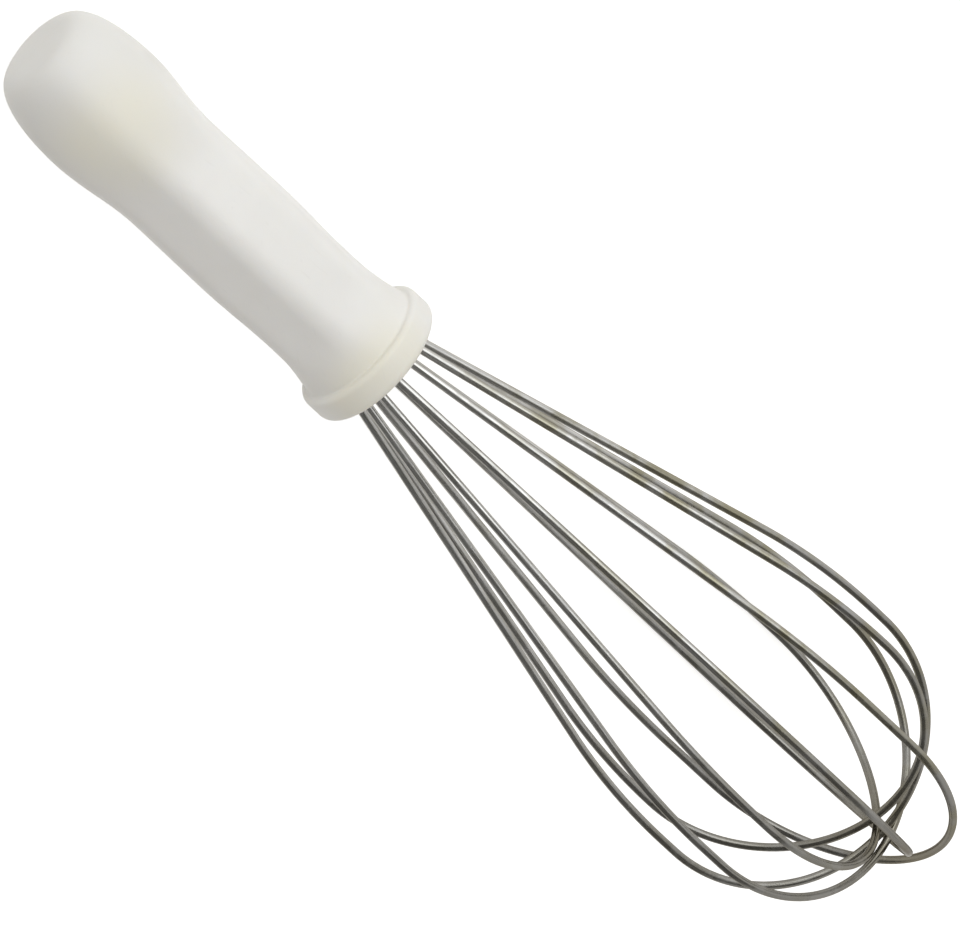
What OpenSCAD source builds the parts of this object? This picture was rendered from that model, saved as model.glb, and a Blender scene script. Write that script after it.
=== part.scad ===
/* [Handle] */
// Length of the handle, from the flat of its butt to the rim of its collar
handle_len = 95.5; // [85:0.5:130]
// Diameter of the flat disc on the butt
butt_flat_d = 10; // [6:0.5:16]
// Squareness of the dome between the flat and the bulb, where 2 is a quarter of an ellipse
dome_squareness = 3.4; // [2:0.1:4]
// Width of the bulb at its widest place, across its flats
bulb_d = 28; // [26:0.1:34]
// Distance from the butt to the widest place of the bulb
bulb_back = 18.1; // [12:0.1:22]
// Width of the waist in front of the bulb, across its flats
waist_d = 23.8; // [23:0.1:26]
// Distance from the butt to the waist
waist_back = 37.5; // [32:0.5:42]
// Width of the slight swell under the fingers, across its flats
swell_d = 24.1; // [23:0.1:26]
// Distance from the butt to the swell
swell_back = 57.5; // [50:0.5:62]
// Width of the neck behind the collar, across its flats
neck_d = 23.1; // [22.8:0.1:25]
// Distance from the collar rim back to the neck
neck_front = 20; // [15:0.5:22]
// Rounding radius of the six soft edges of the grip
edge_round = 5.5; // [4:0.1:10]
// Share of the edges' height that is left at the widest place of the bulb
bulb_edge_share = 0.4; // [0:0.05:0.8]
// Turn of the soft edges about the handle, against the wires
edge_turn = -7; // [-15:1:15]

/* [Collar] */
// Outer diameter of the collar
collar_d = 30.1; // [29:0.1:34]
// Length of the collar band
collar_len = 6.3; // [5.5:0.1:10]
// Diameter of the handle where its flare meets the collar
flare_d = 26.4; // [25:0.1:27]
// Rounding of the collar edge on the wire side
rim_round = 1.8; // [0.5:0.1:2]
// Rounding of the collar edge on the hand side
shoulder_round = 1.2; // [0.4:0.1:1.2]
// Hollow rounding where the flare meets the collar
shoulder_fillet = 0.6; // [0.3:0.1:1]

/* [Wire balloon] */
// Diameter of the wire
wire_d = 1.7; // [1.4:0.05:2]
// Outer diameter of the balloon, over the wires
balloon_d = 63.7; // [50:0.1:75]
// Distance from the collar rim to the middle of the innermost wire where it crosses the axis
balloon_len = 145; // [130:0.5:170]
// Diameter of the circle on which the wires leave the handle
leg_circle_d = 16.1; // [15.5:0.1:16.5]
// Bend radius of a wire where it leaves the handle
mouth_bend_r = 15; // [8:0.5:25]
// Bend radius of a wire where the flare turns into the widest part
belly_bend_r = 132; // [80:1:180]
// Gap between one wire and the next where they cross at the tip
crossing_gap = 0.15; // [0.1:0.05:0.6]
// How much further than its neighbour the longest wire reaches, beyond one crossing step
long_loop_extra = 3.4; // [0:0.1:8]

/* [Wire anchor] */
// Depth of the seal face below the collar rim
mouth_recess = 1.5; // [1:0.1:2.5]
// Diameter of the pocket for the seal
pocket_d = 23.2; // [21:0.1:24]
// Thickness of the seal
seal_t = 4; // [3:0.1:6]
// Diameter of the socket for the anchor core
socket_d = 19.2; // [19:0.1:19.6]
// Length of the anchor core
core_len = 24; // [18:0.5:30]
// Diameter of the hole along the middle of the core
core_bore_d = 8; // [5:0.1:10]
// Height of the retaining rings on the core
ring_h = 0.5; // [0.2:0.05:0.6]
// Width of a retaining ring
ring_w = 1.6; // [1:0.1:2.5]
// Spacing of the two retaining rings
ring_gap = 7; // [5:0.5:9]
// Bend radius of the hook at the end of each leg
hook_bend_r = 2; // [1.8:0.1:2.4]
// Straight length of the hook tip
hook_tip = 1; // [0.5:0.1:1.5]
// Clearance round the core and the seal, on the radius
insert_clearance = 0.05; // [0.02:0.01:0.1]
// Clearance round each wire in its hole, on the radius
leg_clearance = 0.05; // [0.02:0.01:0.1]
// Room left round the hooks in their chamber
hook_room = 0.3; // [0.2:0.05:0.4]

/* [Hidden] */
$fn = 60;

// The whisk's own axis is X: zero at the collar rim, the tip on the plus side, the butt on the minus side.
loop_count = 6;
loop_pitch = 180 / loop_count;
wire_r = wire_d / 2;
leg_r = leg_circle_d / 2;
belly_r = balloon_d / 2 - wire_r;
belly_x = balloon_len - belly_r;
overrun = wire_d;

// Place of each loop in the pile of crossings at the tip, the innermost being 0
pile_places = [2, 0, 5, 4, 1, 3];
last_place = loop_count - 1;
crossing_step = wire_d + crossing_gap;
function loop_reach(i) =
    pile_places[i] * crossing_step + (pile_places[i] == last_place ? long_loop_extra : 0);

// Angle of each loop's plane about the axis; with half a pitch the whisk lies evenly on two wires
loop_turns = [-1, 1, 3, 5, 7, 9];
function loop_angle(i) = loop_turns[i] * loop_pitch / 2;

// Stations behind the rim
seal_back_x = -mouth_recess - seal_t;
core_back_x = seal_back_x - core_len;
hook_x = core_back_x - hook_bend_r;
chamber_back_x = hook_x - wire_r - hook_room;
chamber_r = leg_r + wire_r + hook_room;

// A straight leg, a bend out, a straight flare and a bend back in, all tangent, from the seal to the belly
bend_sum = mouth_bend_r + belly_bend_r;
rise = belly_r - leg_r;
run = belly_x + mouth_recess;
flare_len = sqrt(run * run + rise * rise - 2 * bend_sum * rise);
flare_angle = atan2(
    bend_sum * run + flare_len * (rise - bend_sum),
    flare_len * run - bend_sum * (rise - bend_sum)
);

// Steps of the curves and sides of the wire's section
hook_steps = 4;
mouth_steps = 3;
belly_steps = 4;
tip_steps = 15;
wire_sides = 10;

// A station of a wire: its place along and off the axis, and the direction in which it runs
function arc_stations(cx, cr, bend_r, side, from, to, steps) = [
    for (k = [0 : steps])
        let (a = from + (to - from) * k / steps)
        [cx + side * bend_r * sin(a), cr - side * bend_r * cos(a), a]
];

function half_loop(reach) = concat(
    [[hook_x, leg_r - hook_bend_r - hook_tip, 90]],
    arc_stations(core_back_x, leg_r - hook_bend_r, hook_bend_r, -1, 90, 0, hook_steps),
    arc_stations(-mouth_recess, leg_r + mouth_bend_r, mouth_bend_r, 1, 0, flare_angle, mouth_steps),
    arc_stations(belly_x, belly_r - belly_bend_r, belly_bend_r, -1, flare_angle, 0, belly_steps),
    arc_stations(belly_x + reach, 0, belly_r, -1, 0, -90, tip_steps)
);

function section(station, mirrored, angle) = [
    for (j = [0 : wire_sides - 1])
        let (
            a = 360 * j / wire_sides,
            out = wire_r * cos(a),
            across = wire_r * sin(a),
            off_axis = (station[1] + out * cos(station[2])) * mirrored
        )
        [
            station[0] - out * sin(station[2]),
            off_axis * cos(angle) - across * sin(angle),
            off_axis * sin(angle) + across * cos(angle)
        ]
];

function loop_points(i) =
    let (
        half = half_loop(loop_reach(i)),
        last = len(half) - 1,
        angle = loop_angle(i)
    )
    concat(
        [for (k = [0 : last]) each section(half[k], 1, angle)],
        [for (k = [last - 1 : -1 : 0]) each section(half[k], -1, angle)]
    );

// Triangles that close a tube of rings, with the rings' points in order
function tube_faces(rings, sides) = concat(
    [for (j = [1 : sides - 2]) [0, j, j + 1]],
    [
        for (k = [0 : rings - 2], j = [0 : sides - 1])
            let (a = k * sides + j, b = k * sides + (j + 1) % sides)
            each [[a, a + sides, b], [b, a + sides, b + sides]]
    ],
    [
        for (j = [1 : sides - 2])
            let (first = (rings - 1) * sides)
            [first, first + j + 1, first + j]
    ]
);

// Outline of the handle: each station is its place on the axis, its radius, and its share of the edges
butt_x = -handle_len;
bulb_x = butt_x + bulb_back;
waist_x = butt_x + waist_back;
swell_x = butt_x + swell_back;
neck_x = -neck_front;
collar_x = -collar_len;
fillet_r = min(shoulder_fillet, (collar_d - flare_d) / 2 - shoulder_round);
flare_x = collar_x - fillet_r;
dome_steps = 10;
blend_steps = 6;
gentle_steps = 4;
round_steps = 4;
handle_sides = 60;
edge_count = 6;
edge_pitch = 360 / edge_count;

function ease(u) = (1 - cos(180 * u)) / 2;

function blend(x0, d0, share0, x1, d1, share1, steps) = [
    for (k = [1 : steps])
        let (u = k / steps)
        [
            x0 + (x1 - x0) * u,
            (d0 + (d1 - d0) * ease(u)) / 2,
            share0 + (share1 - share0) * ease(u)
        ]
];

handle_stations = concat(
    [
        for (k = [0 : dome_steps])
            let (a = 90 - 90 * k / dome_steps)
            [
                bulb_x - bulb_back * sin(a),
                (butt_flat_d + (bulb_d - butt_flat_d) * pow(cos(a), 2 / dome_squareness)) / 2,
                bulb_edge_share * cos(a)
            ]
    ],
    blend(bulb_x, bulb_d, bulb_edge_share, waist_x, waist_d, 1, blend_steps),
    blend(waist_x, waist_d, 1, swell_x, swell_d, 1, gentle_steps),
    blend(swell_x, swell_d, 1, neck_x, neck_d, 1, gentle_steps),
    [
        for (k = [1 : blend_steps])
            let (u = k / blend_steps)
            [
                neck_x + (flare_x - neck_x) * u,
                (flare_d - (flare_d - neck_d) * cos(90 * u)) / 2,
                1 - ease(u)
            ]
    ],
    [
        for (k = [1 : round_steps])
            let (a = 90 * k / round_steps)
            [flare_x + fillet_r * sin(a), flare_d / 2 + fillet_r * (1 - cos(a)), 0]
    ],
    [
        for (k = [0 : round_steps])
            let (a = 90 * k / round_steps)
            [
                collar_x + shoulder_round * (1 - cos(a)),
                collar_d / 2 - shoulder_round * (1 - sin(a)),
                0
            ]
    ],
    [
        for (k = [0 : round_steps])
            let (a = 90 * k / round_steps)
            [-rim_round * (1 - sin(a)), collar_d / 2 - rim_round * (1 - cos(a)), 0]
    ]
);

// Radius of a polygon with flats at distance r and rounded edges, at an angle off the middle of a flat
function polygon_r(r, off_flat) =
    let (
        half = edge_pitch / 2,
        flat_end = atan2((r - edge_round) * tan(half), r),
        hub = (r - edge_round) / cos(half),
        off_edge = half - abs(off_flat)
    )
    abs(off_flat) < flat_end
        ? r / cos(off_flat)
        : hub * cos(off_edge) + sqrt(edge_round * edge_round - pow(hub * sin(off_edge), 2));

function section_r(r, share, a) =
    let (off_flat = (a - edge_turn + edge_pitch / 2) % edge_pitch - edge_pitch / 2)
    r + share * (polygon_r(r, off_flat) - r);

handle_points = [
    for (s = handle_stations, j = [0 : handle_sides - 1])
        let (
            a = 360 * j / handle_sides,
            r = section_r(s[1], s[2], a)
        )
        [s[0], r * cos(a), r * sin(a)]
];

// How the whisk lies: the tilt at which the lowest wire and the bulb touch one level surface
wire_points = [for (i = [0 : loop_count - 1]) each loop_points(i)];
function tilted_z(p, tilt) = p[2] * cos(tilt) + p[0] * sin(tilt);
function tilted_x(p, tilt) = p[0] * cos(tilt) - p[2] * sin(tilt);
function lowest(points, tilt) = min([for (p = points) tilted_z(p, tilt)]);
function find_tilt(low, high, halvings) =
    let (middle = (low + high) / 2)
    halvings == 0 ? middle :
    lowest(handle_points, middle) > lowest(wire_points, middle)
        ? find_tilt(middle, high, halvings - 1)
        : find_tilt(low, middle, halvings - 1);
steepest_tilt = 30;
tilt_halvings = 16;
lie_tilt = find_tilt(0, steepest_tilt, tilt_halvings);
rest_z = -lowest(wire_points, lie_tilt);
all_x = [for (p = concat(wire_points, handle_points)) tilted_x(p, lie_tilt)];
middle_x = (min(all_x) + max(all_x)) / 2;

// Sets the whisk down: the origin is on the surface, below the middle of the whole
module lying() {
    translate([-middle_x, 0, rest_z])
        rotate([0, -lie_tilt, 0])
            children();
}

// A disc or rod along the axis, from x0 to x1
module rod(x0, x1, d) {
    translate([x0, 0, 0])
        rotate([0, 90, 0])
            cylinder(d = d, h = x1 - x0);
}

// The two retaining rings, or with a clearance their grooves
module rings(clearance) {
    for (side = [-1, 1])
        translate([(seal_back_x + core_back_x) / 2 + side * ring_gap / 2, 0, 0])
            rotate([0, 90, 0])
                cylinder(d = socket_d + 2 * (ring_h - insert_clearance + clearance), h = ring_w + 2 * clearance, center = true);
}

// The holes for the twelve legs
module leg_holes(x0, x1) {
    for (k = [0 : 2 * loop_count - 1])
        rotate([(k + 1 / 2) * loop_pitch, 0, 0])
            translate([0, leg_r, 0])
                rod(x0, x1, wire_d + 2 * leg_clearance);
}

module wire_loop(i) {
    points = loop_points(i);
    color("#b4b1a8")
        lying()
            polyhedron(points, tube_faces(len(points) / wire_sides, wire_sides), convexity = 4);
}

module handle() {
    color("#e9e7e1")
        lying()
            difference() {
                polyhedron(handle_points, tube_faces(len(handle_stations), handle_sides), convexity = 4);
                rod(seal_back_x, overrun, pocket_d);
                rod(core_back_x, overrun, socket_d);
                rod(chamber_back_x, overrun, 2 * chamber_r);
                rings(insert_clearance);
            }
}

module wire_core() {
    color("#d8d6ce")
        lying()
            difference() {
                union() {
                    rod(core_back_x, seal_back_x, socket_d - 2 * insert_clearance);
                    rings(0);
                }
                rod(core_back_x - overrun, seal_back_x + overrun, core_bore_d);
                leg_holes(core_back_x - overrun, seal_back_x + overrun);
            }
}

module mouth_seal() {
    color("#c9c6bb")
        lying()
            difference() {
                rod(seal_back_x, -mouth_recess, pocket_d - 2 * insert_clearance);
                leg_holes(seal_back_x - overrun, -mouth_recess + overrun);
            }
}

module wire_loop_1() wire_loop(0);
module wire_loop_2() wire_loop(1);
module wire_loop_3() wire_loop(2);
module wire_loop_4() wire_loop(3);
module wire_loop_5() wire_loop(4);
module wire_loop_6() wire_loop(5);

handle();
wire_core();
mouth_seal();
wire_loop_1();
wire_loop_2();
wire_loop_3();
wire_loop_4();
wire_loop_5();
wire_loop_6();
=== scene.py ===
# %% [markdown]
# # A balloon whisk, dressed over its CAD frame
#
# The whisk has a moulded white handle and six loops of springy steel wire. The CAD model gives
# every size. This script adds what CAD leaves out: smooth surfaces in place of flat facets,
# materials with grain and wear, a white table, soft light and the photograph's camera.
# The frame is loaded first and its box is kept, because the dressed whisk must stay inside it.

# %% Load the frame
import math

import bpy
from mathutils import Matrix, Vector


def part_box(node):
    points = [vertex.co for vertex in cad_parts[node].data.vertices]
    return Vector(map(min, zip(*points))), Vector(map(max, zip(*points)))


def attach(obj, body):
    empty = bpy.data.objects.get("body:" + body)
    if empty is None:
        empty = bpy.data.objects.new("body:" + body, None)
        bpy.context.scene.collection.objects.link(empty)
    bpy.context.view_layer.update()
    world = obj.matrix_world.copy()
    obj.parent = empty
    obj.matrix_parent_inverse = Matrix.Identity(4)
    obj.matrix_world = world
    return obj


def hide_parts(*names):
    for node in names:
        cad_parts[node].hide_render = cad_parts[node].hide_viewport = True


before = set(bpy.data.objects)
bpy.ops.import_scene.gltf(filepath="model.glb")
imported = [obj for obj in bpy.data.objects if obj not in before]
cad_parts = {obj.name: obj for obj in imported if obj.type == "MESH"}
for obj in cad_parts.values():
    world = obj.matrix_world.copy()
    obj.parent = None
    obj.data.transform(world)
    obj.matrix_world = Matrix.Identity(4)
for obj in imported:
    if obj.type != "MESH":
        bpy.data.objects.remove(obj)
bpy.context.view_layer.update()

MM = 0.001
print("frame nodes:", ", ".join(sorted(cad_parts)))

# %% [markdown]
# ## How the whisk lies
#
# A whisk is easiest to shape along its own axis: zero at the collar rim, the wires on the plus
# side, the handle on the minus side, and a distance out from the axis. On a table it doesn't lie
# level. It rests on two of its wires and on the bulb of its handle, so the axis is tilted. The
# tilt and the rim's height over the table come from the CAD model, which rests the same way.
# One function lays any point down, and one gives a direction across the axis. Modelling upright
# and laying down later with an object's rotation would work too, but pieces that share the
# frame's own coordinates are simpler to check.

# %% Lay a point on the table
LIE_TILT = math.radians(4.95918)
REST_HEIGHT = 21.2703 * MM
MIDDLE = 31.1602 * MM

AXIS = Vector((math.cos(LIE_TILT), 0, math.sin(LIE_TILT)))
SIDE = Vector((0, 1, 0))
RISE = Vector((-math.sin(LIE_TILT), 0, math.cos(LIE_TILT)))
RIM_CENTRE = Vector((-MIDDLE, 0, REST_HEIGHT))


def lay(along, side, rise):
    """A point given along the axis, to the side and up, as it lies on the table."""
    return RIM_CENTRE + along * AXIS + side * SIDE + rise * RISE


def across_at(turn):
    """The direction straight out from the axis, at a turn from the side towards the top."""
    return math.cos(turn) * SIDE + math.sin(turn) * RISE


print("the axis rises", round(math.degrees(LIE_TILT), 2), "degrees towards the tip")

# %% [markdown]
# ## A tube of rings
#
# The handle and the wires are both skins stretched over a row of rings. Each ring has the same
# number of points, neighbouring rings are joined by four-sided faces, and the two ends are
# closed by a fan. Blender could loft the handle from curves, but a row of rings gives exact
# control of every diameter and a closed mesh without stray faces. A round skin bulges a few
# hundredths of a millimetre over the flat facets of its CAD node, so it is held to that node's
# box: the wires rest flat on the table instead of sinking into it.

# %% Stretch a skin over rings


def skin_over(name, rings, node, smooth_below):
    """A closed mesh over rings of points, standing for a CAD node."""
    sides = len(rings[0])
    points = [p for ring in rings for p in ring]
    faces = []
    for k in range(len(rings) - 1):
        for j in range(sides):
            here, after = k * sides + j, k * sides + (j + 1) % sides
            faces.append((here, after, after + sides, here + sides))
    last = (len(rings) - 1) * sides
    points += [sum(rings[0], Vector()) / sides, sum(rings[-1], Vector()) / sides]
    low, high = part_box(node)
    points = [Vector(min(max(c, l), h) for c, l, h in zip(p, low, high)) for p in points]
    for j in range(sides):
        faces.append(((j + 1) % sides, j, last + sides))
        faces.append((last + j, last + (j + 1) % sides, last + sides + 1))
    mesh = bpy.data.meshes.new(name)
    mesh.from_pydata(points, [], faces)
    mesh.update()
    mesh.shade_smooth()
    mesh.set_sharp_from_angle(angle=math.radians(smooth_below))
    piece = bpy.data.objects.new(name, mesh)
    bpy.context.scene.collection.objects.link(piece)
    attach(piece, "root")
    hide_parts(node)
    spans = [max(p[i] for p in points) - min(p[i] for p in points) for i in range(3)]
    over = [round((s - (h - l)) / MM, 3) for s, h, l in zip(spans, high, low)]
    print(f"{name}: {len(faces)} faces, larger than its CAD node by {over} mm")
    return piece


def circle(sides):
    """The turns of points spaced evenly round a ring."""
    return [2 * math.pi * j / sides for j in range(sides)]


# %% [markdown]
# ## The handle's outline
#
# The handle is one moulded piece. From the butt it has a small flat disc, a round bulb that the
# palm holds, a waist, a slight swell under the fingers, a neck, and a flare that ends in the
# collar. The sizes are the CAD model's.

# %% Sizes of the handle
HANDLE_LEN = 95.5 * MM
BUTT_FLAT_R = 10 / 2 * MM
DOME_SQUARENESS = 3.4
BULB_R, BULB_BACK = 28 / 2 * MM, 18.1 * MM
WAIST_R, WAIST_BACK = 23.8 / 2 * MM, 37.5 * MM
SWELL_R, SWELL_BACK = 24.1 / 2 * MM, 57.5 * MM
NECK_R, NECK_FRONT = 23.1 / 2 * MM, 20 * MM
FLARE_R = 26.4 / 2 * MM
COLLAR_R, COLLAR_LEN = 30.1 / 2 * MM, 6.3 * MM
RIM_ROUND, SHOULDER_ROUND, SHOULDER_FILLET = 1.8 * MM, 1.2 * MM, 0.6 * MM

BUTT = -HANDLE_LEN
BULB, WAIST, SWELL = BUTT + BULB_BACK, BUTT + WAIST_BACK, BUTT + SWELL_BACK
NECK, COLLAR = -NECK_FRONT, -COLLAR_LEN
FLARE_END = COLLAR - SHOULDER_FILLET
print(f"handle: {HANDLE_LEN / MM:.1f} mm long, {2 * COLLAR_R / MM:.1f} mm across the collar")

# %% [markdown]
# ## Stations along the handle
#
# The outline is a list of stations, each with a place on the axis, a radius, and a share from 0
# for a round section to 1 for the six-sided grip. Eased blends join the stations, so the light
# runs over the handle without a kink, and quarter turns round off the shoulder and the rim. The
# dome of the butt is fuller than a circle, because the real one is nearly flat at its end.

# %% Stations of the handle
BULB_EDGE_SHARE = 0.4
BUTT_RING_SHARES = (0.3, 0.6, 0.8, 0.93)
DOME_STEPS, BULB_STEPS, GRIP_STEPS = 32, 20, 14
NECK_STEPS, FILLET_STEPS, SHOULDER_STEPS, RIM_STEPS = 16, 6, 8, 10
QUARTER = math.pi / 2


def ease(u):
    return (1 - math.cos(math.pi * u)) / 2


def between(start, end, share):
    return start + (end - start) * share


def blend(start, end, steps):
    """Eased stations from one (place, radius, share) to the next, without the first."""
    stations = []
    for k in range(1, steps + 1):
        u = k / steps
        radius, share = (between(start[i], end[i], ease(u)) for i in (1, 2))
        stations.append((between(start[0], end[0], u), radius, share))
    return stations


def quarter_turn(steps, first=0):
    return [QUARTER * k / steps for k in range(first, steps + 1)]


outline = [(BUTT, BUTT_FLAT_R * share, 0) for share in BUTT_RING_SHARES]
for a in quarter_turn(DOME_STEPS):
    wide = math.sin(a)
    radius = between(BUTT_FLAT_R, BULB_R, wide ** (2 / DOME_SQUARENESS))
    outline.append((BULB - BULB_BACK * math.cos(a), radius, BULB_EDGE_SHARE * wide))
bulb, waist = (BULB, BULB_R, BULB_EDGE_SHARE), (WAIST, WAIST_R, 1)
swell, neck = (SWELL, SWELL_R, 1), (NECK, NECK_R, 1)
outline += blend(bulb, waist, BULB_STEPS)
outline += blend(waist, swell, GRIP_STEPS)
outline += blend(swell, neck, GRIP_STEPS)
for a in quarter_turn(NECK_STEPS, 1):
    u = a / QUARTER
    radius = between(FLARE_R, NECK_R, math.cos(a))
    outline.append((between(NECK, FLARE_END, u), radius, 1 - ease(u)))
for a in quarter_turn(FILLET_STEPS, 1):
    radius = FLARE_R + SHOULDER_FILLET * (1 - math.cos(a))
    outline.append((FLARE_END + SHOULDER_FILLET * math.sin(a), radius, 0))
for a in quarter_turn(SHOULDER_STEPS):
    radius = COLLAR_R - SHOULDER_ROUND * (1 - math.sin(a))
    outline.append((COLLAR + SHOULDER_ROUND * (1 - math.cos(a)), radius, 0))
for a in quarter_turn(RIM_STEPS):
    radius = COLLAR_R - RIM_ROUND * (1 - math.cos(a))
    outline.append((-RIM_ROUND * (1 - math.sin(a)), radius, 0))
print("handle outline:", len(outline), "stations")

# %% [markdown]
# ## The handle's skin
#
# The grip isn't round. Six soft edges, like those of a pencil worn smooth, keep it from turning
# in a wet hand, and one of them catches the light along the whole grip. Its section is a
# polygon of flats with rounded corners, faded into a circle at both ends of the grip.
# The mouth of the collar is hollow: a pocket for the sealing resin, a socket for the core that
# holds the wires, and a small chamber for the wires' hooked ends. The rings run over the outside,
# round the rim and back along this bore, so the whole handle is one closed skin. The outside is
# drawn two hundredths of a millimetre in, which keeps its roundness inside the CAD node.

# %% Skin the handle
EDGE_COUNT = 6
EDGE_PITCH = 2 * math.pi / EDGE_COUNT
EDGE_ROUND = 5.5 * MM
EDGE_TURN = math.radians(-7)
HANDLE_SIDES = 120
SKIN = 0.02 * MM
POCKET_R, POCKET_BACK = 23.2 / 2 * MM, -5.5 * MM
SOCKET_R, SOCKET_BACK = 19.2 / 2 * MM, -29.5 * MM
CHAMBER_R, CHAMBER_BACK = 9.2 * MM, -32.65 * MM
GROOVE_R, GROOVE_HALF = 10.1 * MM, 0.85 * MM
GROOVES = (-14 * MM, -21 * MM)
MOUTH_BEVEL = 0.35 * MM


def polygon_r(r, off_flat):
    """Radius of the six-sided section at an angle off the middle of a flat at distance r."""
    half = EDGE_PITCH / 2
    hub = (r - EDGE_ROUND) / math.cos(half)
    if abs(off_flat) < math.atan2(hub * math.sin(half), r):
        return r / math.cos(off_flat)
    off_edge = half - abs(off_flat)
    return hub * math.cos(off_edge) + math.sqrt(EDGE_ROUND**2 - (hub * math.sin(off_edge)) ** 2)


def handle_ring(x, r, share):
    ring = []
    for a in circle(HANDLE_SIDES):
        off_flat = (a - EDGE_TURN + EDGE_PITCH / 2) % EDGE_PITCH - EDGE_PITCH / 2
        out = between(r, polygon_r(r, off_flat), share)
        ring.append(lay(x, out * math.cos(a), out * math.sin(a)))
    return ring


bore = [(0, POCKET_R + MOUTH_BEVEL), (-MOUTH_BEVEL, POCKET_R)]
bore += [(POCKET_BACK, POCKET_R), (POCKET_BACK, SOCKET_R)]
for groove in GROOVES:
    front, back = groove + GROOVE_HALF, groove - GROOVE_HALF
    bore += [(front, SOCKET_R), (front, GROOVE_R), (back, GROOVE_R), (back, SOCKET_R)]
bore += [(SOCKET_BACK, SOCKET_R), (SOCKET_BACK, CHAMBER_R), (CHAMBER_BACK, CHAMBER_R)]
handle_rings = [handle_ring(x, r - SKIN, share) for x, r, share in outline]
handle_rings += [handle_ring(x, r, 0) for x, r in bore]
handle = skin_over("handle_skin", handle_rings, "handle", smooth_below=35)

# %% [markdown]
# ## The path of a wire
#
# Each loop is one length of round wire in one plane. A hook at either end locks it in the core.
# From there the wire runs straight out of the handle, bends outward, runs straight again, curves
# gently over the belly and turns back through a half circle at the tip. Springy wire takes such
# arcs by itself, and they all meet without a corner. The angle of the straight part between the
# two bends isn't chosen, because it has to touch both of them. Where the loops cross at the tip
# they are piled on each other, so each of them reaches a little further than the one below it.

# %% Sizes of a wire
WIRE_R = 1.7 / 2 * MM
LEG_R = 16.1 / 2 * MM
BELLY_R, BELLY = 31 * MM, 114 * MM
MOUTH = -1.5 * MM
MOUTH_BEND, BELLY_BEND = 15 * MM, 132 * MM
HOOK_BEND, HOOK_TIP = 2 * MM, 1 * MM
CROSSING_STEP = 1.85 * MM
LONG_LOOP_EXTRA = 3.4 * MM

both_bends = MOUTH_BEND + BELLY_BEND
climb, run = BELLY_R - LEG_R, BELLY - MOUTH
flare_len = math.sqrt(run**2 + climb**2 - 2 * both_bends * climb)
FLARE = math.atan2(
    both_bends * run + flare_len * (climb - both_bends),
    flare_len * run - both_bends * (climb - both_bends),
)
print(f"a wire leaves at {math.degrees(FLARE):.2f} degrees and runs straight for {flare_len / MM:.1f} mm")

# %% [markdown]
# ## Stations along a wire
#
# Arcs and straight lines make the whole path. Each station holds a place on the axis, a distance
# off it and the heading of the wire there, because a ring has to stand square across the wire. A
# free curve through a few points would be quicker to write, but it would swell between them.

# %% Stations of a wire
HOOK_STEPS, LEG_STEPS, MOUTH_STEPS, FLARE_STEPS = 8, 10, 8, 20
BELLY_STEPS, JOIN_STEPS, TIP_STEPS = 16, 3, 40


def arc(x, off_axis, radius, side, start, end, steps):
    """Stations (place, distance off the axis, heading) round an arc."""
    stations = []
    for k in range(steps + 1):
        a = start + (end - start) * k / steps
        out = off_axis - side * radius * math.cos(a)
        stations.append((x + side * radius * math.sin(a), out, a))
    return stations


def straight(start, end, steps):
    """Stations between two others, without them."""
    shares = [k / steps for k in range(1, steps)]
    return [(*(between(start[i], end[i], u) for i in (0, 1)), start[2]) for u in shares]


def half_loop(reach):
    """Stations from the hooked end of a wire to the middle of its loop at the tip."""
    end = (SOCKET_BACK - HOOK_BEND, LEG_R - HOOK_BEND - HOOK_TIP, QUARTER)
    hook = arc(SOCKET_BACK, LEG_R - HOOK_BEND, HOOK_BEND, -1, QUARTER, 0, HOOK_STEPS)
    mouth = arc(MOUTH, LEG_R + MOUTH_BEND, MOUTH_BEND, 1, 0, FLARE, MOUTH_STEPS)
    belly = arc(BELLY, BELLY_R - BELLY_BEND, BELLY_BEND, -1, FLARE, 0, BELLY_STEPS)
    tip = arc(BELLY + reach, 0, BELLY_R, -1, 0, -QUARTER, TIP_STEPS)
    leg = straight(hook[-1], mouth[0], LEG_STEPS)
    flare = straight(mouth[-1], belly[0], FLARE_STEPS)
    join = straight(belly[-1], tip[0], JOIN_STEPS) if reach else []
    return [end, *hook, *leg, *mouth, *flare, *belly, *join, *(tip if reach else tip[1:])]


print("half a loop:", len(half_loop(0)), "stations")

# %% [markdown]
# ## Six loops of wire
#
# The planes of the loops stand evenly round the axis. Which loop lies over which at the tip is
# the list of pile places, and the loop with the highest place is the long one.
# The skin of a wire is a ring at every station of its path. Steel wire is pulled through a die,
# which leaves fine lines along it. To draw those lines in a material, the surface needs to know
# how far along the wire a point is and where round it. So every point also keeps its place on
# the same wire pulled straight, counted from the tip, in an attribute that the material reads.
# A bevelled curve would make the tube faster, but it couldn't carry that second place.

# %% Skin the wires
WIRE_SIDES = 20
LOOP_COUNT = 6
FIRST_TURN = -15
PILE_PLACES = (2, 0, 5, 4, 1, 3)
LOOP_TURNS = [FIRST_TURN + 180 * k / LOOP_COUNT for k in range(LOOP_COUNT)]


def wire_ring(station, mirrored, turn):
    x, off_axis, heading = station
    ring = []
    for a in circle(WIRE_SIDES):
        out, across = WIRE_R * math.cos(a), WIRE_R * math.sin(a)
        far = (off_axis + out * math.cos(heading)) * mirrored
        side = far * math.cos(turn) - across * math.sin(turn)
        rise = far * math.sin(turn) + across * math.cos(turn)
        ring.append(lay(x - out * math.sin(heading), side, rise))
    return ring


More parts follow.
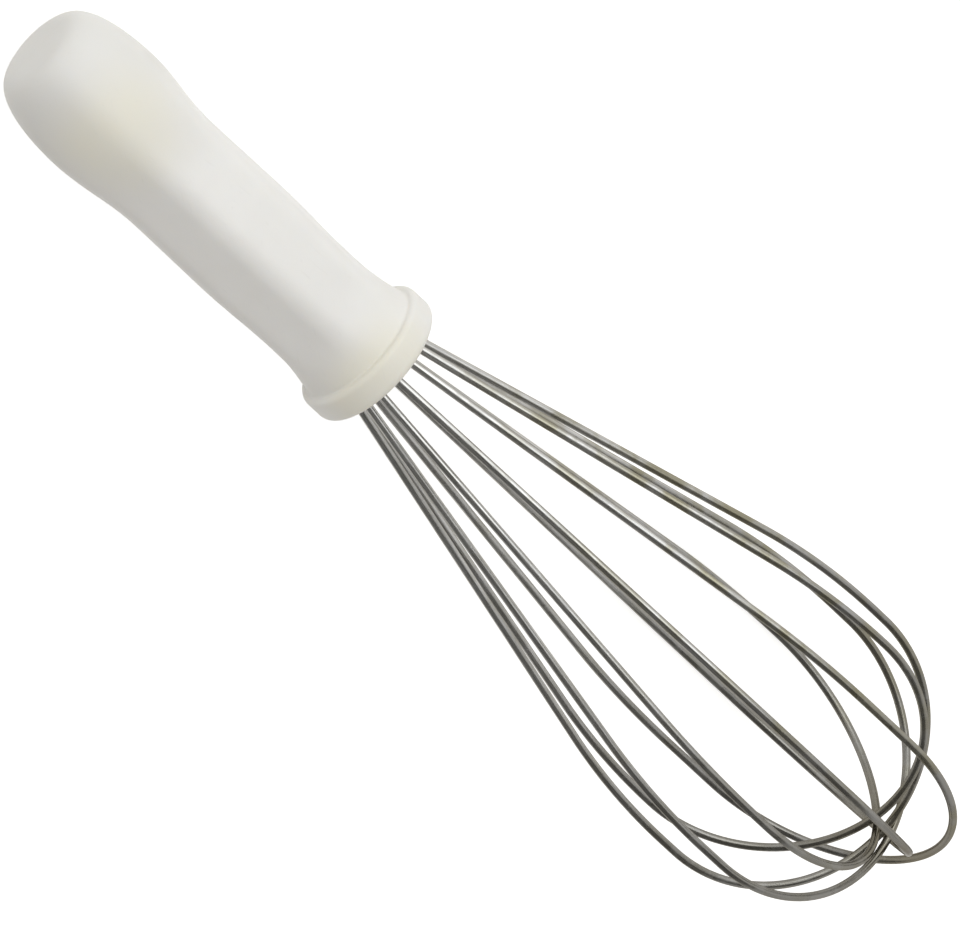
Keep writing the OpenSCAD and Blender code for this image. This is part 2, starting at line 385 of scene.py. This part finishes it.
wires = []
for number, (place, turn) in enumerate(zip(PILE_PLACES, LOOP_TURNS), 1):
    reach = place * CROSSING_STEP + (LONG_LOOP_EXTRA if place == max(PILE_PLACES) else 0)
    half = half_loop(reach)
    path = [(s, 1) for s in half] + [(s, -1) for s in reversed(half[:-1])]
    rings = [wire_ring(s, side, math.radians(turn)) for s, side in path]
    node = f"wire_loop_{number}"
    wire = skin_over(f"{node}_skin", rings, node, smooth_below=50)

    centres = [sum(ring, Vector()) / WIRE_SIDES for ring in rings]
    lengths = [0.0]
    for before, after in zip(centres, centres[1:]):
        lengths.append(lengths[-1] + (after - before).length)
    half_length = lengths[-1] / 2
    pulled = []
    for length in lengths:
        for a in circle(WIRE_SIDES):
            pulled.append((length - half_length, WIRE_R * math.cos(a), WIRE_R * math.sin(a)))
    pulled += [(-half_length, 0, 0), (half_length, 0, 0)]
    kept = wire.data.attributes.new("pulled_straight", "FLOAT_VECTOR", "POINT")
    kept.data.foreach_set("vector", [c for p in pulled for c in p])
    wires.append(wire)
    print(f"wire {number}: {lengths[-1] / MM:.0f} mm of wire")

# %% [markdown]
# ## The resin in the mouth
#
# The gap between the wires is filled with resin, poured in while the handle stands upright.
# Before it sets it creeps up the wall of the mouth and up each wire, and those small curved
# collars are what makes it look poured. A flat disc with a bump texture would lose them from the
# side, so the face is a fine grid of rings whose height follows the distance to wire and wall.

# %% Pour the resin
SEAL_FACE = -1.5 * MM
WALL_CREEP, WALL_REACH = 0.45 * MM, 0.55 * MM
WIRE_CREEP, WIRE_REACH = 0.5 * MM, 0.4 * MM
SEAL_SIDES = 240
SEAL_RINGS = 44
FLOOR_RING_SHARES = (0.2, 0.6, 1)
SEAL_EDGE_R = POCKET_R - SKIN
legs = [math.radians(turn + half_turn) for turn in LOOP_TURNS for half_turn in (0, 180)]


def resin_height(r, a):
    y, z = r * math.cos(a), r * math.sin(a)
    gap = min(math.hypot(y - LEG_R * math.cos(b), z - LEG_R * math.sin(b)) for b in legs)
    up_wire = WIRE_CREEP * math.exp(-max(gap - WIRE_R, 0) / WIRE_REACH)
    up_wall = WALL_CREEP * math.exp(-(SEAL_EDGE_R - r) / WALL_REACH)
    return SEAL_FACE + max(up_wire, up_wall)


def seal_ring(r, height):
    """A ring at a radius, with a function that gives the height of each of its points."""
    return [lay(height(r, a), r * math.cos(a), r * math.sin(a)) for a in circle(SEAL_SIDES)]


def seal_floor(r, a):
    return POCKET_BACK + SKIN


seal_rings = [seal_ring(SEAL_EDGE_R * share, seal_floor) for share in FLOOR_RING_SHARES]
for k in range(SEAL_RINGS, 0, -1):
    seal_rings.append(seal_ring(SEAL_EDGE_R * k / SEAL_RINGS, resin_height))
seal = skin_over("seal_skin", seal_rings, "mouth_seal", smooth_below=40)

# %% [markdown]
# ## Small helpers for materials
#
# A material is a tree of nodes. Written out in full, each node takes three or four lines, so one
# helper adds a node, sets it up and feeds its sockets with numbers or with other nodes' sockets.
# Effects that more than one material uses are node groups: built once, with named inputs and
# outputs, then placed in each material with its own values. Most looks below come from masks,
# which are values from 0 to 1 over the surface: where a mask is high, another colour is laid over
# the first, or a value such as the roughness is raised.

# %% Helpers for nodes


def add(tree, kind, feeds=None, **settings):
    """A new node with its settings; feeds gives sockets a value or the socket that feeds them."""
    node = tree.nodes.new(kind)
    for name, value in settings.items():
        setattr(node, name, value)
    for key, value in (feeds or {}).items():
        if isinstance(value, bpy.types.NodeSocket):
            tree.links.new(value, node.inputs[key])
        else:
            node.inputs[key].default_value = value
    return node


def maths(tree, operation, first, second=0.0):
    return add(tree, "ShaderNodeMath", {0: first, 1: second}, operation=operation).outputs[0]


def ramp(tree, value, start, end, first=0.0, last=1.0):
    """A smooth change from first to last while a value goes, up or down, from start to end."""
    feeds = {"Value": value, "From Min": start, "From Max": end, "To Min": first, "To Max": last}
    return add(tree, "ShaderNodeMapRange", feeds, interpolation_type="SMOOTHSTEP").outputs["Result"]


def mix(tree, share, first, second):
    """A colour between two others."""
    return add(tree, "ShaderNodeMix", {0: share, 6: first, 7: second}, data_type="RGBA").outputs[2]


def laid_over(tree, colour, mask, other, strength):
    """A colour with some of another over it where the mask is high."""
    return mix(tree, maths(tree, "MULTIPLY", mask, strength), colour, other)


def raised(tree, value, mask, by):
    """A value raised where the mask is high, or lowered if by is negative."""
    return maths(tree, "ADD", value, maths(tree, "MULTIPLY", mask, by))


def noise(tree, place, scale, detail=2.0, roughness=0.5):
    feeds = {"Vector": place, "Scale": scale, "Detail": detail, "Roughness": roughness}
    return add(tree, "ShaderNodeTexNoise", feeds).outputs["Fac"]


def stretched(tree, place, scales):
    """Places scaled apart in each direction, so that noise on them is drawn out."""
    return add(tree, "ShaderNodeVectorMath", {0: place, 1: scales}, operation="MULTIPLY").outputs[0]


def along_way(tree, place, way):
    """How far a place lies along a direction."""
    feeds = {0: place, 1: way}
    return add(tree, "ShaderNodeVectorMath", feeds, operation="DOT_PRODUCT").outputs["Value"]


def effect(name, inputs, outputs):
    """An empty node group and its two ends."""
    tree = bpy.data.node_groups.new(name, "ShaderNodeTree")
    for label, value in inputs.items():
        kind = "NodeSocketVector" if value is None else "NodeSocketFloat"
        socket = tree.interface.new_socket(name=label, in_out="INPUT", socket_type=kind)
        if value is not None:
            socket.default_value = value
    for label in outputs:
        tree.interface.new_socket(name=label, in_out="OUTPUT", socket_type="NodeSocketFloat")
    return tree, add(tree, "NodeGroupInput").outputs, add(tree, "NodeGroupOutput")


def use(tree, group, feeds):
    """Places a group in a material and returns its outputs."""
    return add(tree, "ShaderNodeGroup", feeds, node_tree=group).outputs


def new_material(name):
    """A material with only a Principled shader in it."""
    material = bpy.data.materials.new(name)
    material.use_nodes = True
    return material, material.node_tree, material.node_tree.nodes["Principled BSDF"]


print("helpers for nodes are ready")

# %% [markdown]
# ## Shared effect: moulded grain
#
# A mould is spark-eroded or blasted, and the plastic copies that fine, even grain. It is too
# small to model, so it is a height for a bump, with a slow mottle for colour and gloss, because
# no moulding is perfectly even. Resin and core use the same effect with other sizes.

# %% Moulded grain
inputs = {"Place": None, "Grains per metre": 3000.0, "Mottles per metre": 60.0}
moulded_grain, given, leave = effect("moulded_grain", inputs, ("Height", "Mottle"))
fine = noise(moulded_grain, given["Place"], given["Grains per metre"], detail=3.0, roughness=0.6)
slow = noise(moulded_grain, given["Place"], given["Mottles per metre"], detail=4.0, roughness=0.55)
moulded_grain.links.new(fine, leave.inputs["Height"])
moulded_grain.links.new(ramp(moulded_grain, slow, 0.3, 0.7), leave.inputs["Mottle"])
print("moulded_grain:", len(moulded_grain.nodes), "nodes")

# %% [markdown]
# ## Shared effect: scuffs
#
# A tool that lives in a drawer collects hairline scratches, mostly along its length, where it
# slides against the others. Noise that is drawn out along one direction and cut at a high level
# leaves only thin separate strokes. Two sets at an angle to each other look less combed.

# %% Scuffs
STROKE_TURNS = (0.0, 0.5)
STROKE_FADE = 0.04

inputs = {"Place": None, "Strokes per metre": 1800.0, "Draw": 0.05, "Least": 0.66}
scuffs, given, leave = effect("scuffs", inputs, ("Strokes",))
strokes = []
for turn in STROKE_TURNS:
    feeds = {"Vector": given["Place"], "Angle": turn}
    turned = add(scuffs, "ShaderNodeVectorRotate", feeds, rotation_type="Z_AXIS").outputs[0]
    draw = add(scuffs, "ShaderNodeCombineXYZ", {"X": given["Draw"], "Y": 1.0, "Z": 1.0}).outputs[0]
    drawn = noise(scuffs, stretched(scuffs, turned, draw), given["Strokes per metre"])
    most = maths(scuffs, "ADD", given["Least"], STROKE_FADE)
    feeds = {"Value": drawn, "From Min": given["Least"], "From Max": most}
    strokes.append(add(scuffs, "ShaderNodeMapRange", feeds).outputs[0])
scuffs.links.new(maths(scuffs, "MAXIMUM", *strokes), leave.inputs["Strokes"])
print("scuffs:", len(scuffs.nodes), "nodes")

# %% [markdown]
# ## Shared effect: edge wear
#
# Edges that stick out are rubbed by hands, bowls and cloths. The Geometry node's pointiness says
# how much the surface sticks out at a point. Broken up by noise, it becomes a mask that is
# strongest on the rim and the shoulder of the collar and nearly nothing on the open grip.

# %% Edge wear
inputs = {"Place": None, "Patches per metre": 250.0, "Starts": 0.51, "Full": 0.56}
edge_wear, given, leave = effect("edge_wear", inputs, ("Worn",))
pointed = add(edge_wear, "ShaderNodeNewGeometry").outputs["Pointiness"]
sticks_out = ramp(edge_wear, pointed, given["Starts"], given["Full"])
patches = noise(edge_wear, given["Place"], given["Patches per metre"], detail=4.0, roughness=0.6)
worn = maths(edge_wear, "MULTIPLY", sticks_out, ramp(edge_wear, patches, 0.35, 0.6))
edge_wear.links.new(worn, leave.inputs["Worn"])
print("edge_wear:", len(edge_wear.nodes), "nodes")

# %% [markdown]
# ## Shared effect: dull film
#
# Dish water dries in soft-edged patches that take the shine off. One slow noise is warped by a
# second, so that the patches have the wandering edge of a drying drop instead of round blots.

# %% Dull film
WARP = 8 * MM

inputs = {"Place": None, "Patches per metre": 90.0, "Starts": 0.5, "Full": 0.62}
dull_film, given, leave = effect("dull_film", inputs, ("Film",))
feeds = {"Vector": given["Place"], "Scale": given["Patches per metre"]}
warp = add(dull_film, "ShaderNodeTexNoise", feeds).outputs["Color"]
push = add(dull_film, "ShaderNodeVectorMath", {0: warp, "Scale": WARP}, operation="SCALE").outputs[0]
moved = add(dull_film, "ShaderNodeVectorMath", {0: given["Place"], 1: push}, operation="ADD").outputs[0]
film = noise(dull_film, moved, given["Patches per metre"], detail=3.0, roughness=0.6)
dull_film.links.new(ramp(dull_film, film, given["Starts"], given["Full"]), leave.inputs["Film"])
print("dull_film:", len(dull_film.nodes), "nodes")

# %% [markdown]
# ## Where the handle is touched
#
# White plastic yellows where a hand warms it, just in front of the bulb's widest place and at the
# collar, most of all on top under the thumb. The butt is a little greyer, because the whisk is
# stood and knocked on it. The mould's two halves leave a hair-fine line on both sides. Each of
# these is a mask over a span, the two places between which it rises from 0 to 1. A painted mask
# would need an image, and a measured one follows the stations of the outline by itself.

# %% Masks for the handle
PALM_MIDDLE = BULB + 2 * MM
PALM_SPAN = (17 * MM, 3 * MM)
COLLAR_SPAN = (COLLAR - 10 * MM, COLLAR - 1 * MM)
BUTT_SPAN = (BULB + 10 * MM, BULB - 6 * MM)
THUMB_TURN, THUMB_SPAN = math.radians(82), (7 * MM, 13.5 * MM)
PARTING_TURN, PARTING_SPAN = math.radians(76.5), (0.14 * MM, 0.04 * MM)

plastic, tree, shader = new_material("handle_plastic")
place = add(tree, "ShaderNodeTexCoord").outputs["Object"]
from_rim = add(tree, "ShaderNodeVectorMath", {0: place, 1: RIM_CENTRE}, operation="SUBTRACT").outputs[0]
on_axis = along_way(tree, from_rim, AXIS)
off_palm = maths(tree, "ABSOLUTE", maths(tree, "SUBTRACT", on_axis, PALM_MIDDLE))
at_palm = ramp(tree, off_palm, *PALM_SPAN)
at_collar = ramp(tree, on_axis, *COLLAR_SPAN)
at_butt = ramp(tree, on_axis, *BUTT_SPAN)

towards_thumb = along_way(tree, from_rim, across_at(THUMB_TURN))
under_thumb = ramp(tree, towards_thumb, *THUMB_SPAN, first=0.15)
warmth = maths(tree, "MULTIPLY", maths(tree, "MAXIMUM", at_palm, at_collar), under_thumb)

off_parting = along_way(tree, from_rim, across_at(PARTING_TURN))
parting = ramp(tree, maths(tree, "ABSOLUTE", off_parting), *PARTING_SPAN)
print("masks for the handle:", len(tree.nodes), "nodes")

# %% [markdown]
# ## White handle plastic
#
# The handle is polypropylene: white, a little warm and semi-matt. Light goes a short way into it,
# and without that it would look like chalk, so a little subsurface is mixed in. The grain makes a
# fine bump, the scratches cut into it, and a film of dried water dulls it in patches. Rubbed
# edges are greyer and smoother than the rest.

# %% Handle plastic
WHITE_LOW, WHITE_HIGH = (0.81, 0.793, 0.762, 1), (0.84, 0.827, 0.797, 1)
BUTT_GREY = (0.77, 0.757, 0.725, 1)
HAND_YELLOW = (0.80, 0.772, 0.672, 1)
RUBBED_GREY = (0.70, 0.685, 0.64, 1)
SCRATCH_GREY = (0.66, 0.65, 0.62, 1)
PARTING_GREY = (0.68, 0.67, 0.64, 1)

grain = use(tree, moulded_grain, {"Place": place, "Grains per metre": 3200.0, "Mottles per metre": 45.0})
marks = use(tree, scuffs, {"Place": place, "Strokes per metre": 1500.0, "Draw": 0.06, "Least": 0.69})
worn = use(tree, edge_wear, {"Place": place, "Starts": 0.515, "Full": 0.57})
film = use(tree, dull_film, {"Place": place, "Patches per metre": 55.0})

blotchy_warmth = maths(tree, "MULTIPLY", warmth, ramp(tree, grain["Mottle"], 0, 1, 0.7, 1.0))
white = mix(tree, grain["Mottle"], WHITE_LOW, WHITE_HIGH)
white = mix(tree, at_butt, white, BUTT_GREY)
white = mix(tree, blotchy_warmth, white, HAND_YELLOW)
white = laid_over(tree, white, worn["Worn"], RUBBED_GREY, strength=0.35)
white = laid_over(tree, white, marks["Strokes"], SCRATCH_GREY, strength=0.12)
white = laid_over(tree, white, parting, PARTING_GREY, strength=0.2)
tree.links.new(white, shader.inputs["Base Color"])

rough = ramp(tree, grain["Mottle"], 0, 1, 0.42, 0.5)
rough = raised(tree, rough, film["Film"], by=0.1)
rough = raised(tree, rough, worn["Worn"], by=-0.1)
rough = raised(tree, rough, marks["Strokes"], by=0.12)
tree.links.new(rough, shader.inputs["Roughness"])

height = raised(tree, grain["Height"], marks["Strokes"], by=-0.4)
height = raised(tree, height, parting, by=1.5)
bump = add(tree, "ShaderNodeBump", {"Height": height, "Strength": 0.5, "Distance": 0.02 * MM})
tree.links.new(bump.outputs[0], shader.inputs["Normal"])
shader.inputs["IOR"].default_value = 1.49
shader.inputs["Specular IOR Level"].default_value = 0.4
shader.inputs["Subsurface Weight"].default_value = 0.2
shader.inputs["Subsurface Radius"].default_value = (1.0, 0.85, 0.65)
shader.inputs["Subsurface Scale"].default_value = 1.5 * MM
handle.data.materials.append(plastic)
print("handle_plastic:", len(tree.nodes), "nodes")

# %% [markdown]
# ## Where the wires are stained
#
# Food and dish water leave straw and olive tints, most on the side that dries last, and the
# wires grow darker towards the tip. The stain thins out near the tip, which the bowl rubs, and
# near the handle, which the food doesn't reach. Where the loops cross they are darkest, under a
# brown painted shade that stands for the shade the crossing wires cast on each other. Distances
# are counted along the wire from the tip, because the wires turn round there, and places on the
# whisk's axis would bunch up.

# %% Masks for the wires
DARK_SPAN = (125 * MM, 20 * MM)
CROSSING_SPAN = (20 * MM, 3 * MM)
STAIN_TIP_SPAN, STAIN_NECK_SPAN = (25 * MM, 75 * MM), (170 * MM, 125 * MM)
STAIN_SIDE_SPAN = (-6 * MM, 18 * MM)
STAINS_PER_METRE = 110.0

steel, tree, shader = new_material("wire_steel")
place = add(tree, "ShaderNodeAttribute", attribute_name="pulled_straight").outputs["Vector"]
round_place = add(tree, "ShaderNodeTexCoord").outputs["Object"]
from_tip = maths(tree, "ABSOLUTE", add(tree, "ShaderNodeSeparateXYZ", {0: place}).outputs["X"])
to_side = add(tree, "ShaderNodeSeparateXYZ", {0: round_place}).outputs["Y"]

near_tip = ramp(tree, from_tip, *DARK_SPAN)
crossing = ramp(tree, from_tip, *CROSSING_SPAN)
stained_side = ramp(tree, to_side, *STAIN_SIDE_SPAN, first=0.3)
stained_tip = ramp(tree, from_tip, *STAIN_TIP_SPAN, first=0.5)
stained_neck = ramp(tree, from_tip, *STAIN_NECK_SPAN, first=0.3)
stain = noise(tree, round_place, STAINS_PER_METRE, detail=3.0, roughness=0.6)
tint = maths(tree, "MULTIPLY", ramp(tree, stain, 0.38, 0.62), stained_side)
tint = maths(tree, "MULTIPLY", tint, maths(tree, "MULTIPLY", stained_tip, stained_neck))
print("masks for the wires:", len(tree.nodes), "nodes")

# %% [markdown]
# ## Drawn steel wire
#
# Springy stainless wire is grey rather than mirror-bright, because the die leaves fine lines
# along it. The lines are noise on the pulled-straight places, drawn out fifty to eighty times
# along the wire, and they change the grey, the gloss and the bump. The crossing is rubbed a
# little smoother. Clean metal flashes white at a grazing angle, and metal with a film on it
# doesn't. The shader's specular tint is the colour at that angle, so it is turned down.

# %% Wire steel
HAIR_DRAW, BAND_DRAW = (0.012, 1, 1), (0.02, 1, 1)
HAIRS_PER_METRE, BANDS_PER_METRE = 14000.0, 2600.0
STEEL_LOW, STEEL_HIGH = (0.36, 0.355, 0.343, 1), (0.52, 0.512, 0.493, 1)
TIPWARD_GREY = (0.14, 0.132, 0.115, 1)
OLIVE_STAIN = (0.215, 0.196, 0.118, 1)
FILM_GREY = (0.34, 0.335, 0.32, 1)
CROSSING_SHADE_BROWN = (0.14, 0.122, 0.08, 1)
GRAZING_GREY = (0.5, 0.48, 0.45, 1)

hair = noise(tree, stretched(tree, place, HAIR_DRAW), HAIRS_PER_METRE, detail=3.0, roughness=0.65)
band = noise(tree, stretched(tree, place, BAND_DRAW), BANDS_PER_METRE)
marks = use(tree, scuffs, {"Place": place, "Strokes per metre": 2500.0, "Draw": 0.15, "Least": 0.68})
feeds = {"Place": round_place, "Patches per metre": 140.0, "Starts": 0.48, "Full": 0.64}
film = use(tree, dull_film, feeds)

grey = mix(tree, ramp(tree, band, 0.35, 0.65), STEEL_LOW, STEEL_HIGH)
# The wires grow darker towards the tip.
grey = laid_over(tree, grey, near_tip, TIPWARD_GREY, strength=0.8)
grey = laid_over(tree, grey, tint, OLIVE_STAIN, strength=0.75)
grey = laid_over(tree, grey, film["Film"], FILM_GREY, strength=0.3)
# Where the loops cross, a brown painted shade darkens them, standing for the shade the crossing wires
# cast on each other.
grey = laid_over(tree, grey, crossing, CROSSING_SHADE_BROWN, strength=0.5)
tree.links.new(grey, shader.inputs["Base Color"])

rough = ramp(tree, hair, 0.3, 0.7, 0.18, 0.3)
rough = raised(tree, rough, film["Film"], by=0.12)
rough = raised(tree, rough, crossing, by=-0.06)
tree.links.new(rough, shader.inputs["Roughness"])
shader.inputs["Metallic"].default_value = 1.0
shader.inputs["Specular Tint"].default_value = GRAZING_GREY

height = maths(tree, "SUBTRACT", hair, marks["Strokes"])
bump = add(tree, "ShaderNodeBump", {"Height": height, "Strength": 0.4, "Distance": 0.006 * MM})
tree.links.new(bump.outputs[0], shader.inputs["Normal"])
for wire in wires:
    wire.data.materials.append(steel)
print("wire_steel:", len(tree.nodes), "nodes on", len(wires), "wires")

# %% [markdown]
# ## Seal resin and core plastic
#
# The resin is a clear-set epoxy with a cream filler, glossier than the handle. Small pits of
# trapped air dull it: each is a dent, painted darker brown as a painted shade in its hollow. The
# core is the same plastic as the handle without its care: it is never seen, so it stays as the
# CAD node and only gets the moulded grain and rubbed edges.

# %% Resin and core
PITS_PER_METRE = 700.0
CREAM_LOW, CREAM_HIGH = (0.62, 0.595, 0.53, 1), (0.71, 0.69, 0.63, 1)
PIT_SHADE_BROWN = (0.42, 0.39, 0.33, 1)
CORE_LOW, CORE_HIGH = (0.66, 0.65, 0.61, 1), (0.73, 0.72, 0.69, 1)
CORE_RUBBED = (0.58, 0.57, 0.53, 1)

resin, tree, shader = new_material("seal_resin")
place = add(tree, "ShaderNodeTexCoord").outputs["Object"]
grain = use(tree, moulded_grain, {"Place": place, "Grains per metre": 1400.0, "Mottles per metre": 160.0})
film = use(tree, dull_film, {"Place": place, "Patches per metre": 180.0})
pits = add(tree, "ShaderNodeTexVoronoi", {"Vector": place, "Scale": PITS_PER_METRE}).outputs["Distance"]
pit = ramp(tree, pits, 0.22, 0.08)
cream = mix(tree, grain["Mottle"], CREAM_LOW, CREAM_HIGH)
# Each pit is painted darker brown, a painted shade in its hollow.
cream = laid_over(tree, cream, pit, PIT_SHADE_BROWN, strength=0.35)
tree.links.new(cream, shader.inputs["Base Color"])
rough = raised(tree, ramp(tree, grain["Mottle"], 0, 1, 0.22, 0.34), film["Film"], by=0.2)
tree.links.new(rough, shader.inputs["Roughness"])
height = maths(tree, "SUBTRACT", maths(tree, "MULTIPLY", grain["Height"], 0.3), pit)
bump = add(tree, "ShaderNodeBump", {"Height": height, "Strength": 0.5, "Distance": 0.05 * MM})
tree.links.new(bump.outputs[0], shader.inputs["Normal"])
shader.inputs["Subsurface Weight"].default_value = 0.15
shader.inputs["Subsurface Scale"].default_value = 1 * MM
seal.data.materials.append(resin)

core_plastic, tree, shader = new_material("core_plastic")
place = add(tree, "ShaderNodeTexCoord").outputs["Object"]
grain = use(tree, moulded_grain, {"Place": place, "Grains per metre": 1800.0, "Mottles per metre": 90.0})
worn = use(tree, edge_wear, {"Place": place})
tone = mix(tree, grain["Mottle"], CORE_LOW, CORE_HIGH)
tree.links.new(mix(tree, worn["Worn"], tone, CORE_RUBBED), shader.inputs["Base Color"])
tree.links.new(ramp(tree, grain["Mottle"], 0, 1, 0.45, 0.6), shader.inputs["Roughness"])
bump = add(tree, "ShaderNodeBump", {"Height": grain["Height"], "Strength": 0.6, "Distance": 0.03 * MM})
tree.links.new(bump.outputs[0], shader.inputs["Normal"])
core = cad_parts["wire_core"]
core.data.materials.clear()
core.data.materials.append(core_plastic)
print("seal_resin and core_plastic are on")

# %% [markdown]
# ## Camera
#
# The photograph looks down on the whisk from the handle's side with a long lens, and the camera
# is rolled so that the whisk runs from the upper left to the lower right of the picture.
# The view is built from the whisk's own axis: first round it, then tipped towards the handle,
# then rolled. That keeps each angle a number that can be compared with the picture.

# %% Set the camera
ROUND = math.radians(76.5)
TOWARDS_HANDLE = math.radians(23.6)
RUNS_DOWN = math.radians(42.8)
LENS, SENSOR = 350, 36
PIXELS_PER_MM = 5.137
FRAME_WIDTH = 960
FAR_END = 100
AIM_ALONG, AIM_LEFT, AIM_DOWN = 31.8 * MM, 1.8 * MM, 0.6 * MM

to_camera = math.cos(TOWARDS_HANDLE) * across_at(ROUND) - math.sin(TOWARDS_HANDLE) * AXIS
runs = (AXIS - AXIS.dot(to_camera) * to_camera).normalized()
beside = to_camera.cross(runs)
image_right = math.cos(RUNS_DOWN) * runs + math.sin(RUNS_DOWN) * beside
image_up = -math.sin(RUNS_DOWN) * runs + math.cos(RUNS_DOWN) * beside

aim = lay(AIM_ALONG, 0, 0) - AIM_LEFT * image_right - AIM_DOWN * image_up
distance = FRAME_WIDTH / PIXELS_PER_MM * MM * LENS / SENSOR
camera_data = bpy.data.cameras.new("camera")
camera_data.lens = LENS
camera_data.sensor_width = SENSOR
camera_data.clip_end = FAR_END
camera = bpy.data.objects.new("camera", camera_data)
bpy.context.scene.collection.objects.link(camera)
camera.location = aim + distance * to_camera
camera.rotation_euler = Matrix((image_right, image_up, to_camera)).transposed().to_euler()
bpy.context.scene.camera = camera
print(f"camera {distance:.2f} m away, looking down at {math.degrees(math.asin(to_camera.z)):.1f} degrees")

# %% [markdown]
# ## White table
#
# The photograph is a cut-out on pure white. A white table that also glows a little for the camera
# comes close and still shows where the whisk touches it. The glow is only for rays that look at
# the table, straight or by reflection, so it adds no light to the whisk. The Standard view shows
# every colour about as it is written, so white stays white. The table lies a tenth of a
# millimetre low, so that its surface and the whisk's never share a plane.

# %% Table
TABLE_HALF = 4.0
TABLE_GLOW = 0.62
TABLE_DROP = 0.1 * MM
TABLE_BASE = (0.81, 0.8, 0.78, 1)

bpy.context.scene.view_settings.view_transform = "Standard"


def seen_directly(tree):
    """1 for rays from the camera, by reflection and through clear things, else 0."""
    path = add(tree, "ShaderNodeLightPath").outputs
    straight_or_mirrored = maths(tree, "MAXIMUM", path["Is Camera Ray"], path["Is Glossy Ray"])
    return maths(tree, "MAXIMUM", straight_or_mirrored, path["Is Transmission Ray"])


def sheet(name, corners, panels):
    """A thin sheet of panels that is part of the stage, not of the whisk."""
    mesh = bpy.data.meshes.new(name)
    mesh.from_pydata(corners, [], panels)
    stage_piece = bpy.data.objects.new(name, mesh)
    bpy.context.scene.collection.objects.link(stage_piece)
    return stage_piece


corners = [(x * TABLE_HALF, y * TABLE_HALF) for x, y in ((-1, -1), (1, -1), (1, 1), (-1, 1))]
table = sheet("table", [(x, y, -TABLE_DROP) for x, y in corners], [(0, 1, 2, 3)])
table_white, tree, shader = new_material("table_white")
shader.inputs["Base Color"].default_value = TABLE_BASE
shader.inputs["Roughness"].default_value = 0.9
strength = maths(tree, "MULTIPLY", seen_directly(tree), TABLE_GLOW)
glow = add(tree, "ShaderNodeEmission", {"Strength": strength})
both = add(tree, "ShaderNodeAddShader", {0: shader.outputs[0], 1: glow.outputs[0]})
tree.links.new(both.outputs[0], tree.nodes["Material Output"].inputs["Surface"])
table.data.materials.append(table_white)
print("table:", 2 * TABLE_HALF, "m across")

# %% [markdown]
# ## Light
#
# One large soft lamp stands at the upper right of the picture. A weaker one over the butt lifts
# its end face. An even room fills the rest: it looks white, and the light that it gives is dimmer
# and a trace warm. The lamps are large, because a small one would draw a hard shadow on the table
# and a pinpoint of light on every wire.

# %% Lamps and room
LAMP_POWER = 4.4
BUTT_LAMP_POWER = 1.2
LAMP_SIZE = 0.95
LAMP_AWAY = 1.0
LAMP_COLOUR = (0.94, 0.972, 1.0)
ROOM_LEVEL = 0.57
ROOM_WARMTH, WHITE = (1.0, 0.988, 0.966, 1), (1, 1, 1, 1)


def soft_lamp(name, power, direction):
    """A square lamp that shines on the whisk from a direction."""
    lamp_data = bpy.data.lights.new(name, "AREA")
    lamp_data.energy = power
    lamp_data.size = LAMP_SIZE
    lamp_data.color = LAMP_COLOUR
    lamp = bpy.data.objects.new(name, lamp_data)
    bpy.context.scene.collection.objects.link(lamp)
    direction.normalize()
    lamp.location = aim + LAMP_AWAY * direction
    lamp.rotation_euler = direction.to_track_quat("Z", "Y").to_euler()


soft_lamp("main_lamp", LAMP_POWER, 0.64 * beside + 0.77 * to_camera + 0.06 * runs)
soft_lamp("butt_lamp", BUTT_LAMP_POWER, 0.25 * beside + 0.75 * to_camera - 0.6 * runs)

world = bpy.data.worlds.new("white_room")
bpy.context.scene.world = world
world.use_nodes = True
tree = world.node_tree
room = tree.nodes["Background"]
seen = seen_directly(tree)
tree.links.new(mix(tree, seen, ROOM_WARMTH, WHITE), room.inputs["Color"])
tree.links.new(ramp(tree, seen, 0, 1, ROOM_LEVEL, 1.0), room.inputs["Strength"])
print(f"lamps of {LAMP_POWER} and {BUTT_LAMP_POWER} W in a white room")

# %% [markdown]
# ## A dark card for the metal
#
# Bright metal in an all-white room shows no shape, so photographers bend a dark card over one
# side: its reflection draws a dark half along every wire. Here the card arches from the table at
# the lower left to just past the camera. Only reflections see it, so it needs no hole for the
# lens and doesn't darken the handle.

# %% Dark card
CARD_R, CARD_LENGTH, CARD_REACH = 0.6, 1.2, math.radians(113)
CARD_PANELS = 24
CARD_GREY = (0.3, 0.3, 0.3, 1)

away = Vector((-beside.x, -beside.y, 0)).normalized()
half_card = CARD_LENGTH / 2 * Vector((-away.y, away.x, 0))
under = Vector((aim.x, aim.y, 0))
arch = []
for k in range(CARD_PANELS + 1):
    a = CARD_REACH * k / CARD_PANELS
    out = under + CARD_R * (math.cos(a) * away + math.sin(a) * Vector((0, 0, 1)))
    arch += [out - half_card, out + half_card]
panels = [(2 * k, 2 * k + 1, 2 * k + 3, 2 * k + 2) for k in range(CARD_PANELS)]
card = sheet("dark_card", arch, panels)
card.visible_camera = False
card.visible_diffuse = False
card.visible_shadow = False
card_grey, tree, shader = new_material("card_grey")
shader.inputs["Base Color"].default_value = CARD_GREY
shader.inputs["Roughness"].default_value = 0.9
card.data.materials.append(card_grey)
print(f"dark card: {CARD_LENGTH} m long, {CARD_PANELS} panels")
